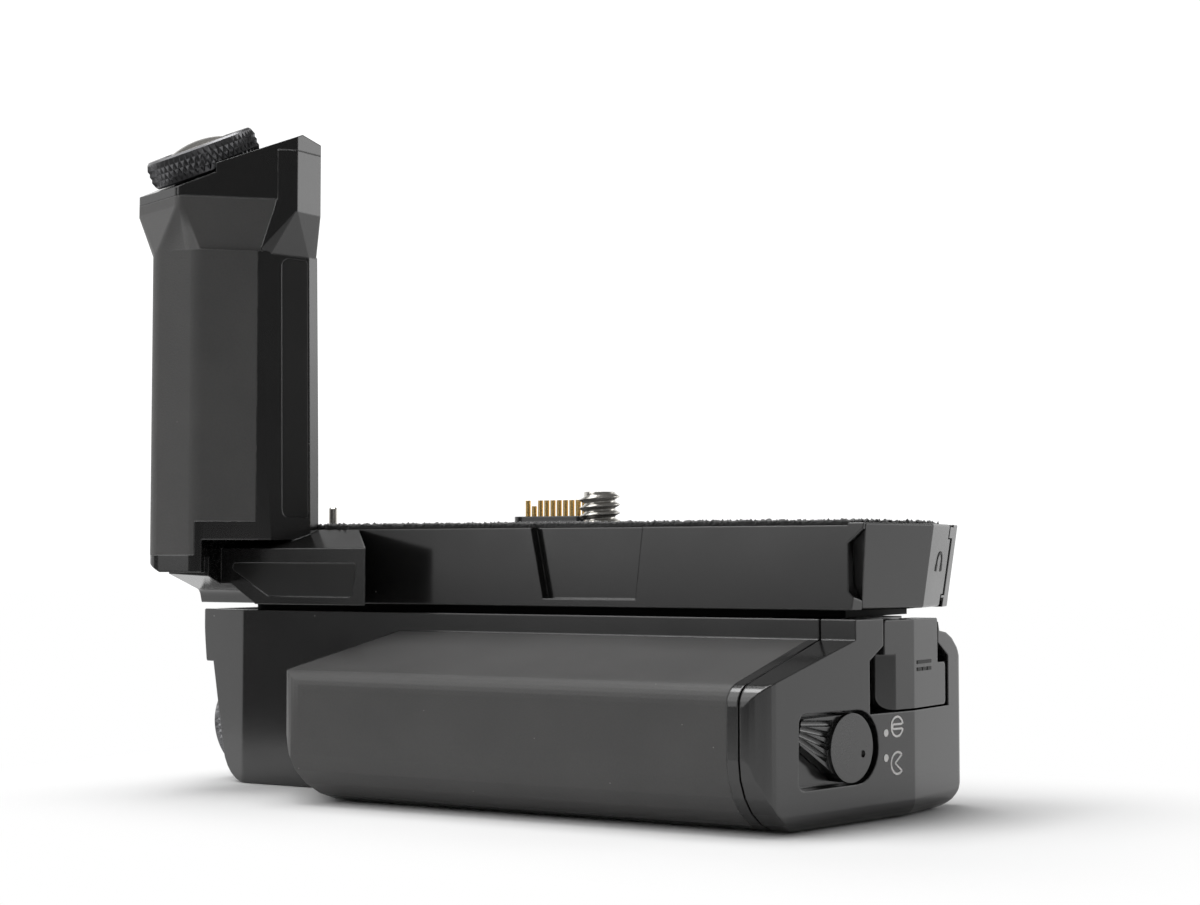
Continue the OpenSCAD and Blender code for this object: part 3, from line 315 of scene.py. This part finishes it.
# The lid and the plate's bottom cover take the painted-shade gap finish.
by_node = {
    "body_lid": gap_painted_shade_finish,
    "plate_cover": gap_painted_shade_finish,
    "handgrip_inlay": inlay_finish,
    "root_inlay": inlay_finish,
    "headphone_cover": cover_finish,
    "dc_cover": cover_finish,
    "lock_lever": lever_finish,
}
for node, solid in nodes.items():
    for place in solid.material_slots:
        place.material = by_node.get(node, by_slot[slot_of[node]])
print("dressed", len(nodes), "solids")

# %% [markdown]
# ## Pieces
# A piece is modelled in a bmesh at its true place, so that its object can stay at the origin. Then it takes
# a finish, rides on the body of the solid that it stands for, and hides that solid.


# %% From a shape to a piece
def piece(name, shape, node, material, replaced=True, smooth=None):
    """Makes the object, which rides with the node's body and may replace the node."""
    mesh = bpy.data.meshes.new(name)
    shape.to_mesh(mesh)
    shape.free()
    mesh.materials.append(material)
    made = bpy.data.objects.new(name, mesh)
    bpy.context.scene.collection.objects.link(made)
    if smooth is not None:
        mesh.polygons.foreach_set("use_smooth", [True] * len(mesh.polygons))
        mesh.set_sharp_from_angle(angle=math.radians(smooth))
        made.modifiers.new("even_shading", "WEIGHTED_NORMAL").keep_sharp = True
    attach(made, body_of[node])
    if replaced:
        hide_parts(node)
    print(name, len(mesh.polygons), "faces")
    return made


def joint_place(name):
    """A matrix whose z axis is the joint's axis."""
    joint = joint_of[name]
    turn = Vector((0, 0, 1)).rotation_difference(Vector(joint["axis"]))
    return Matrix.Translation(Vector(joint["pos_m"])) @ turn.to_matrix().to_4x4()


def reach(node, place):
    """Lowest and highest point along the place's axis, and the largest radius, in mm."""
    back = place.inverted()
    local = [(back @ vertex.co) / MM for vertex in nodes[node].data.vertices]
    heights = [point.z for point in local]
    return min(heights), max(heights), max(point.xy.length for point in local)


# %% Copies and cuts
def solid_copy(node):
    """The node's mesh in a bmesh of its own, with its loose triangles merged."""
    shape = bmesh.new()
    shape.from_mesh(nodes[node].data)
    bmesh.ops.remove_doubles(shape, verts=shape.verts, dist=1e-7)
    return shape


def trim(shape, height, outwards):
    """Cuts a shape level at a height, and closes it."""
    cut = bmesh.ops.bisect_plane(
        shape,
        geom=shape.verts[:] + shape.edges[:] + shape.faces[:],
        plane_co=(0, 0, height),
        plane_no=(0, 0, outwards),
        clear_outer=True,
    )
    rim = [item for item in cut["geom_cut"] if isinstance(item, bmesh.types.BMEdge)]
    bmesh.ops.holes_fill(shape, edges=rim)


def keep_below(shape, height):
    trim(shape, height * MM, 1)


def add_shape(shape, other):
    """Adds another bmesh to this one."""
    carrier = bpy.data.meshes.new("carrier")
    other.to_mesh(carrier)
    other.free()
    shape.from_mesh(carrier)
    bpy.data.meshes.remove(carrier)


# %% [markdown]
# ## Knurled dials
# The dials have a rim of small pyramids. A profile is spun round the axis in steps of half a tooth, then
# every other point of the rim is pushed out like the dark squares of a chessboard. Joining the low points
# splits each face along the valley, which leaves four flat facets on every tooth.


# %% Turned shapes
def turned(outline, steps):
    """Spins a profile of (radius, height) points, which may start and end on the axis, round z."""
    shape = bmesh.new()
    points = [shape.verts.new((r, 0, z)) for r, z in outline]
    pairs = list(zip(points, points[1:]))
    if outline[0][0] > 0:
        pairs.append((points[-1], points[0]))
    for first, second in pairs:
        shape.edges.new((first, second))
    bmesh.ops.spin(
        shape,
        geom=shape.verts[:] + shape.edges[:],
        axis=(0, 0, 1),
        cent=(0, 0, 0),
        steps=steps,
        angle=2 * math.pi,
        use_merge=True,
    )
    bmesh.ops.remove_doubles(shape, verts=shape.verts, dist=1e-4)
    bmesh.ops.recalc_face_normals(shape, faces=shape.faces)
    return shape


def put(shape, place):
    """Takes a shape from millimetres in a local frame to its place."""
    bmesh.ops.transform(shape, matrix=place @ Matrix.Scale(MM, 4), verts=shape.verts)
    return shape


# %% A knurled ring
def knurled_ring(radius, bore, low, high, teeth, rows, depth):
    """A knurled ring round z, in mm, with chamfered rims and rows of pyramid teeth between them."""
    chamfer = 0.3
    rim_low, rim_high = low + chamfer, high - chamfer
    heights = [rim_low + (rim_high - rim_low) * row / rows for row in range(rows + 1)]
    outline = [(bore, low), (radius - depth - chamfer, low)]
    outline += [(radius - depth, height) for height in heights]
    outline += [(radius - depth - chamfer, high), (bore, high)]
    shape = turned(outline, 2 * teeth)
    valleys = []
    for vertex in shape.verts:
        if abs(vertex.co.xy.length - (radius - depth)) > 1e-3:
            continue
        column = round(math.atan2(vertex.co.y, vertex.co.x) * teeth / math.pi)
        row = round((vertex.co.z - rim_low) / (rim_high - rim_low) * rows)
        if (column + row) % 2 == 0 and 0 < row < rows:
            vertex.co.xy *= radius / (radius - depth)
        else:
            valleys.append(vertex)
    bmesh.ops.connect_verts(shape, verts=valleys)
    bmesh.ops.recalc_face_normals(shape, faces=shape.faces)
    return shape


dial_place = joint_place("control_dial_spin")
dial_low, dial_high, dial_radius = reach("control_dial", dial_place)
dial_shape = knurled_ring(dial_radius, 5.95, dial_low, dial_high, teeth=56, rows=4, depth=0.36)
piece("control_dial_knurled", put(dial_shape, dial_place), "control_dial", dial_finish)

# %% Dials of the lower unit
portrait_place = joint_place("portrait_dial_spin")
portrait_high, portrait_radius = reach("portrait_dial", portrait_place)[1:]
portrait_bore = reach("portrait_button", portrait_place)[2] + 0.05
portrait_shape = knurled_ring(
    portrait_radius,
    portrait_bore,
    -1.2,
    portrait_high,
    teeth=48,
    rows=4,
    depth=0.34,
)
piece("portrait_dial_knurled", put(portrait_shape, portrait_place), "portrait_dial", dial_finish)

rear_place = joint_place("rear_dial_spin")
rear_high, rear_radius = reach("rear_dial", rear_place)[1:]
rear_shape = knurled_ring(rear_radius, 0.0, -1.7, rear_high, teeth=44, rows=4, depth=0.34)
piece("rear_dial_knurled", put(rear_shape, rear_place), "rear_dial", dial_finish)

# %% [markdown]
# ## Shutter button
# The shutter button is a polished metal disc in the middle of the tilted dial, domed so that the finger
# finds it. Its profile is turned like the dials', with a parabola for the dome.

# %% Domed button
button_low, button_high, button_radius = reach("shutter_button", dial_place)
dome = 0.9
button_edge = button_high - dome - 0.05
button_outline = [(0, button_low), (button_radius, button_low), (button_radius, button_edge)]
for share in (0.97, 0.9, 0.75, 0.55, 0.3, 0.0):
    button_outline.append((button_radius * share, button_high - dome * share ** 2))
button_shape = turned(button_outline, 72)
piece("shutter_button_domed", put(button_shape, dial_place), "shutter_button", steel_finish, smooth=35)

# %% [markdown]
# ## Camera screw
# The screw that holds the camera is a quarter-inch screw with twenty threads to the inch. One tooth of the
# thread, as a short zigzag, is spun upwards along the axis by one pitch for each turn. The turns meet, and
# planes trim the ends. Below the seat the solid's own mesh goes on.

# %% Threaded screw
screw_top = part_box("camera_screw")[1][2] / MM
pitch = 1.27
crest = 3.175
root = crest - 0.72
thread = bmesh.new()
tooth = [(root, 0.0), (root, 0.16), (crest, 0.55), (crest, 0.72), (root, 1.11), (root, pitch)]
tooth_points = [thread.verts.new((r, 0, z - 2 * pitch)) for r, z in tooth]
for first, second in zip(tooth_points, tooth_points[1:]):
    thread.edges.new((first, second))
turns = math.ceil((screw_top + 2) / pitch) + 1
steps_in_turn = 48
bmesh.ops.spin(
    thread,
    geom=thread.verts[:] + thread.edges[:],
    axis=(0, 0, 1),
    cent=(0, 0, 0),
    dvec=(0, 0, pitch / steps_in_turn),
    steps=steps_in_turn * turns,
    angle=2 * math.pi * turns,
    use_merge=False,
)
bmesh.ops.remove_doubles(thread, verts=thread.verts, dist=1e-3)
thread_foot = -0.4
tip_radius = 2.35
tip_slope = 1.1
trim(thread, screw_top, 1)
trim(thread, thread_foot, -1)
for vertex in thread.verts:
    room = tip_radius + (screw_top - vertex.co.z) * tip_slope
    if vertex.co.xy.length > room:
        vertex.co.xy *= room / vertex.co.xy.length
bmesh.ops.recalc_face_normals(thread, faces=thread.faces)
bmesh.ops.transform(thread, matrix=Matrix.Scale(MM, 4), verts=thread.verts)
shank = solid_copy("camera_screw")
keep_below(shank, thread_foot + 0.1)
add_shape(thread, shank)
piece("camera_screw_threaded", thread, "camera_screw", steel_finish, smooth=40)

# %% [markdown]
# ## Rubber grips
# The rubber follows the hand, so its faces run into each other with soft bends. The solids have the faces
# with sharp bends between them. In a copy, coplanar triangles are dissolved into whole faces, and the bends
# between two outer faces get a wide bevel. Edges of the rim are steeper, so an angle limit leaves them
# alone.


# %% Bevels on a copy
def whole_faces(node):
    """A copy of a solid whose coplanar triangles are joined into faces."""
    shape = solid_copy(node)
    bmesh.ops.dissolve_limit(
        shape,
        angle_limit=math.radians(1.0),
        use_dissolve_boundaries=False,
        verts=shape.verts,
        edges=shape.edges,
    )
    return shape


def bevel(shape, edges, width, segments):
    bmesh.ops.bevel(
        shape,
        geom=edges,
        offset=width * MM,
        offset_type="OFFSET",
        affect="EDGES",
        segments=segments,
        profile=0.5,
        material=-1,
        clamp_overlap=True,
    )


# %% Soft bends
def soft_bends(node, width, least=6, most=62):
    """Rounds the bends between two angles in degrees."""
    shape = whole_faces(node)
    bends = []
    for edge in shape.edges:
        if len(edge.link_faces) == 2:
            angle = math.degrees(edge.calc_face_angle(0))
            if least < angle < most and edge.calc_length() > 2 * MM:
                bends.append(edge)
    bevel(shape, bends, width, segments=6)
    print(node, len(bends), "bends")
    return shape


handgrip_rubber_shape = soft_bends("handgrip_rubber", 4.2)
piece("handgrip_rubber_moulded", handgrip_rubber_shape, "handgrip_rubber", handgrip_rubber_painted_light_finish, smooth=30)
front_rubber_shape = soft_bends("front_rubber", 3.0)
piece("front_rubber_moulded", front_rubber_shape, "front_rubber", grip_rubber_finish, smooth=30)

# %% [markdown]
# ## Chamfers
# The plate and the headphone cover have a small chamfer all round, which shows as a bright line against the
# dark front. In a copy, the edges between a level face and an upright one are bevelled.


# %% Chamfered rims
def chamfered(node, width):
    """Bevels the edges between the level faces at the top and bottom and the upright ones."""
    shape = whole_faces(node)
    low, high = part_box(node)
    rims = []
    for edge in shape.edges:
        if len(edge.link_faces) != 2 or edge.calc_face_angle_signed(0) <= 0:
            continue
        levels = sorted(abs(face.normal.z) for face in edge.link_faces)
        at_rim = all(min(v.co.z - low[2], high[2] - v.co.z) < 0.02 * MM for v in edge.verts)
        if levels[0] < 0.3 and levels[1] > 0.9 and at_rim:
            rims.append(edge)
    bevel(shape, rims, width, segments=2)
    print(node, len(rims), "rim edges")
    return shape


piece("base_plate_chamfered", chamfered("base_plate", 0.3), "base_plate", shell_finish)
piece("headphone_cover_chamfered", chamfered("headphone_cover", 0.3), "headphone_cover", cover_finish)

# %% [markdown]
# ## Rib under the plate
# In the photograph no light comes through between the two units at their right end. A low rib under the
# plate's bottom cover closes the slot there. It ends above the drawer and left of the socket cover, which
# both move.

# %% Bottom cover with a rib
ribbed = solid_copy("plate_cover")
rib_middle = Vector((41.0, 1.0, -12.7)) * MM
rib_size = Vector((9.0, 23.0, 1.2)) * MM
rib_place = Matrix.LocRotScale(rib_middle, None, rib_size)
bmesh.ops.create_cube(ribbed, size=1, matrix=rib_place)
# Painted shade: the rib is a dark block put in the slot where only shade shows, with the gap's painted-shade
# finish.
piece("plate_cover_ribbed", ribbed, "plate_cover", gap_painted_shade_finish)

# %% [markdown]
# ## Felt pad
# The camera stands on a thin felt. The pad's solid is cut into small cells by a voxel remesh, and then the
# points on top are pulled up by different amounts, a few of them far, as tufts of fibre that stand out
# against the light.

# %% Felt with tufts
felt_cell = 0.33 * MM
felt_skin = 0.2 * MM
pile = 0.12 * MM
tuft_reach = 0.5 * MM
stray = 0.16 * MM
pad_mesh = bpy.data.meshes.new("felt_carrier")
pad_copy = solid_copy("seat_pad")
pad_copy.to_mesh(pad_mesh)
pad_copy.free()
carrier = bpy.data.objects.new("felt_carrier", pad_mesh)
bpy.context.scene.collection.objects.link(carrier)
cells = carrier.modifiers.new("cells", "REMESH")
cells.mode = "VOXEL"
cells.voxel_size = felt_cell
felt = bmesh.new()
felt.from_object(carrier, bpy.context.evaluated_depsgraph_get())
bpy.data.objects.remove(carrier)
bpy.data.meshes.remove(pad_mesh)
dice = random.Random(7)
pad_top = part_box("seat_pad")[1][2]
for vertex in felt.verts:
    if vertex.co.z > pad_top - felt_skin:
        tuft = dice.random()
        vertex.co.z += pile * tuft + tuft_reach * tuft ** 6
        vertex.co.x += (dice.random() - 0.5) * stray
        vertex.co.y += (dice.random() - 0.5) * stray
pad_piece = piece("seat_pad_felt", felt, "seat_pad", felt_finish)

# %% [markdown]
# ## Signs
# White signs beside the lock lever show closed and open, a headphone sign marks the headphone socket, and
# the sign for direct current marks the other socket. Each is a thin layer on its cover: rings are short
# spins of a square profile, and bars are flat boxes.


# %% Drawing on a face
def face_place(point, normal):
    """A frame on a face: x to the right, y up, z outwards."""
    outwards = Vector(normal).normalized()
    right = Vector((0, 0, 1)).cross(outwards).normalized()
    up = outwards.cross(right)
    turn = Matrix((right, up, outwards)).transposed().to_4x4()
    return Matrix.Translation(Vector(point) * MM) @ turn


LAYER = 0.05


def add_arc(shape, centre, radius, width, start, sweep):
    """Part of a ring, from an angle and over a sweep in degrees."""
    first = Vector((math.cos(math.radians(start)), math.sin(math.radians(start)), 0))
    corners = []
    for out, height in ((-width / 2, -LAYER), (width / 2, -LAYER), (width / 2, LAYER), (-width / 2, LAYER)):
        corners.append(shape.verts.new(Vector((*centre, height)) + first * (radius + out)))
    end = shape.faces.new(corners)
    whole = sweep >= 360
    bmesh.ops.spin(
        shape,
        geom=([] if whole else [end]) + end.edges[:] + corners,
        axis=(0, 0, 1),
        cent=(*centre, 0),
        steps=max(6, round(sweep / 10)),
        angle=math.radians(sweep),
        use_merge=whole,
    )
    if whole:
        bmesh.ops.delete(shape, geom=[end], context="FACES_ONLY")


def add_bar(shape, start, end, width):
    """A straight bar between two points."""
    run = Vector(end) - Vector(start)
    middle = (Vector(start) + Vector(end)) / 2
    place = Matrix.Translation((middle.x, middle.y, 0))
    place = place @ Matrix.Rotation(math.atan2(run.y, run.x), 4, "Z")
    place = place @ Matrix.Diagonal((run.length, width, 2 * LAYER, 1))
    bmesh.ops.create_cube(shape, size=1, matrix=place)


def add_dot(shape, centre, radius):
    place = Matrix.Translation((*centre, 0))
    bmesh.ops.create_cone(
        shape,
        cap_ends=True,
        segments=24,
        radius1=radius,
        radius2=radius,
        depth=2 * LAYER,
        matrix=place,
    )


print("signs can be drawn")

# %% Lock signs
white_finish, white_shader, white_point = finish("white_paint", grey(0.8), 0.5)
feed(white_shader, "Base Color", white_point.noise(3.0).tint(grey(0.68, 0.02), grey(0.88, 0.01)))
lock_joint = joint_of["lock_turn"]
lock_place = face_place(Vector(lock_joint["pos_m"]) / MM, lock_joint["axis"])
signs = bmesh.new()
add_dot(signs, (7.9, 1.55), 0.52)
add_dot(signs, (7.9, -1.9), 0.52)
add_arc(signs, (10.5, 2.3), 1.36, 0.3, 14, 332)
add_bar(signs, (9.75, 2.62), (11.7, 2.62), 0.28)
add_bar(signs, (9.75, 1.98), (11.7, 1.98), 0.28)
add_arc(signs, (9.75, 2.3), 0.32, 0.28, 90, 180)
add_arc(signs, (10.55, -2.75), 1.5, 0.3, 48, 264)
add_bar(signs, (11.55, -1.64), (9.95, -2.75), 0.28)
add_bar(signs, (11.55, -3.86), (9.95, -2.75), 0.28)
bmesh.ops.recalc_face_normals(signs, faces=signs.faces)
piece("lock_signs", put(signs, lock_place), "end_cover", white_finish, replaced=False)

# %% Socket signs
mark_finish, mark_shader, mark_point = finish("dark_engraving", grey(0.006), 0.6)
feed(mark_shader, "Base Color", mark_point.noise(3.0).tint(grey(0.004), grey(0.010)))
headphone_sign = bmesh.new()
add_arc(headphone_sign, (0, 0), 1.5, 0.42, -14, 208)
add_bar(headphone_sign, (-1.5, -0.2), (-1.62, -1.2), 0.85)
add_bar(headphone_sign, (1.5, -0.2), (1.62, -1.2), 0.85)
bmesh.ops.recalc_face_normals(headphone_sign, faces=headphone_sign.faces)
headphone_place = face_place((52.71, 7.03, -5.72), (0.979, 0.139, -0.148))
piece("headphone_sign", put(headphone_sign, headphone_place), "headphone_cover", mark_finish, replaced=False)

current_sign = bmesh.new()
add_bar(current_sign, (-2.4, 0.5), (2.4, 0.5), 0.5)
for middle in (-1.75, 0.0, 1.75):
    add_bar(current_sign, (middle - 0.65, -0.5), (middle + 0.65, -0.5), 0.5)
current_place = face_place((52.39, 1.62, -20.2), (0.999, -0.044, 0))
piece("current_sign", put(current_sign, current_place), "dc_cover", mark_finish, replaced=False)

# %% [markdown]
# ## Floor
# The photograph stands on a white sweep. The floor is white and keeps the contact shadow; away from the
# object it turns into plain white for the camera, and behind the object for reflections too. The black
# fronts at the left mirror a dark room, so the floor is cut off before them, outside the picture.

# %% Floor
FLOOR_HALF = 1.5
FLOOR_EDGE = (-0.079, -0.097, 0)
FLOOR_EDGE_OUTWARDS = (-0.63, -0.777, 0)
floor_shape = bmesh.new()
bmesh.ops.create_grid(floor_shape, x_segments=1, y_segments=1, size=FLOOR_HALF)
bmesh.ops.bisect_plane(
    floor_shape,
    geom=floor_shape.verts[:] + floor_shape.edges[:] + floor_shape.faces[:],
    plane_co=FLOOR_EDGE,
    plane_no=FLOOR_EDGE_OUTWARDS,
    clear_outer=True,
)
floor_mesh = bpy.data.meshes.new("floor")
floor_shape.to_mesh(floor_mesh)
floor_shape.free()
floor = bpy.data.objects.new("floor", floor_mesh)
floor.location = (0, 0, cad_low[2] - 0.02 * MM)
bpy.context.scene.collection.objects.link(floor)
floor_material, floor_shader, floor_point = finish("white_floor", grey(0.9), 0.7, specular=0.2)
floor_mesh.materials.append(floor_material)
print("floor at", floor.location.z)

# %% White away from the object
floor_tree = floor_material.node_tree
ray = Value(floor_tree.nodes.new("ShaderNodeLightPath").outputs["Is Camera Ray"])
shiny = Value(ray.socket.node.outputs["Is Glossy Ray"])
glassy = Value(ray.socket.node.outputs["Is Transmission Ray"])
foot_half_width = 62
foot_middle = -8
foot_half_depth = 22
fade_starts = 4.0
white_starts = 48.0
rear_starts = -60.0
rear_full = 20.0
beside = (abs(floor_point.part(0)) - foot_half_width).most(0)
before = (abs(floor_point.part(1) - foot_middle) - foot_half_depth).most(0)
distance = beside.sum("SQRT", beside * beside + before * before)
rear = floor_point.part(1).rise(rear_starts, rear_full)
far = distance.rise(fade_starts, white_starts) * ray.most(shiny.most(glassy) * rear)
white = ray.make("Emission", {"Color": grey(1.0), "Strength": 1.0})
blend = ray.make("MixShader", {0: far, 1: Value(floor_shader.outputs[0]), 2: white})
floor_tree.links.new(blend.socket, floor_tree.nodes["Material Output"].inputs["Surface"])
print("floor is white from", white_starts, "mm off the object")

# %% [markdown]
# ## Light
# Black plastic shows what it mirrors, so the world is drawn as a ring of lit cards: a wide backdrop, a card
# at the right behind, one at the left, and a narrow one in front. The camera sees plain white in place of
# them. Two soft lamps above give the shadow and light the rubber.

# %% World
world = bpy.data.worlds.new("studio")
bpy.context.scene.world = world
world.use_nodes = True
background = world.node_tree.nodes["Background"]
path = world.node_tree.nodes.new("ShaderNodeLightPath")
seen = Value(path.outputs["Is Camera Ray"])
direction = Value(world.node_tree.nodes.new("ShaderNodeTexCoord").outputs["Generated"])
height = direction.part(2)
around = direction.sum("ARCTAN2", direction.part(0) * -1, direction.part(1) * -1)


def card(middle, half, low, high, soft=0.05):
    """A lit card round the stage: middle and half width in degrees, lower and upper edge as sines."""
    off = abs(around.sum("WRAP", around - math.radians(middle), math.pi, -math.pi))
    across = 1 - off.rise(math.radians(half) - soft, math.radians(half) + soft)
    return across * height.rise(low - soft, low + soft) * (1 - height.rise(high - soft, high + soft))


backdrop = card(174, 64, -0.3, 0.42)
right_card = card(-140, 12, 0.08, 0.5, 0.06)
left_card = card(86, 24, -0.3, 0.5)
front_card = card(26.5, 8.7, -0.01, 0.4, 0.02)
lit = 0.14 + backdrop + right_card * 1.5 + left_card * 0.7 + front_card * 1.3
level = seen.most(lit)
world.node_tree.links.new(level.socket, background.inputs["Strength"])
background.inputs["Color"].default_value = grey(1.0)
print("world lit")


# %% Lamps
def softbox(name, place, width, length, power):
    """A soft lamp that shines at the origin: its place and size in metres, its power in watts."""
    light = bpy.data.lights.new(name, "AREA")
    light.shape = "RECTANGLE"
    light.size = width
    light.size_y = length
    light.energy = power
    lamp = bpy.data.objects.new(name, light)
    lamp.location = place
    lamp.rotation_euler = (-Vector(place)).to_track_quat("-Z", "Y").to_euler()
    bpy.context.scene.collection.objects.link(lamp)
    print(name, "at", place, "with", power, "W")


softbox("top_softbox", (-0.12, 0.02, 0.75), 0.5, 0.4, 4.2)
softbox("key_softbox", (-0.50, -0.42, 0.62), 0.8, 0.8, 4.5)
bpy.context.scene.view_settings.view_transform = "Standard"
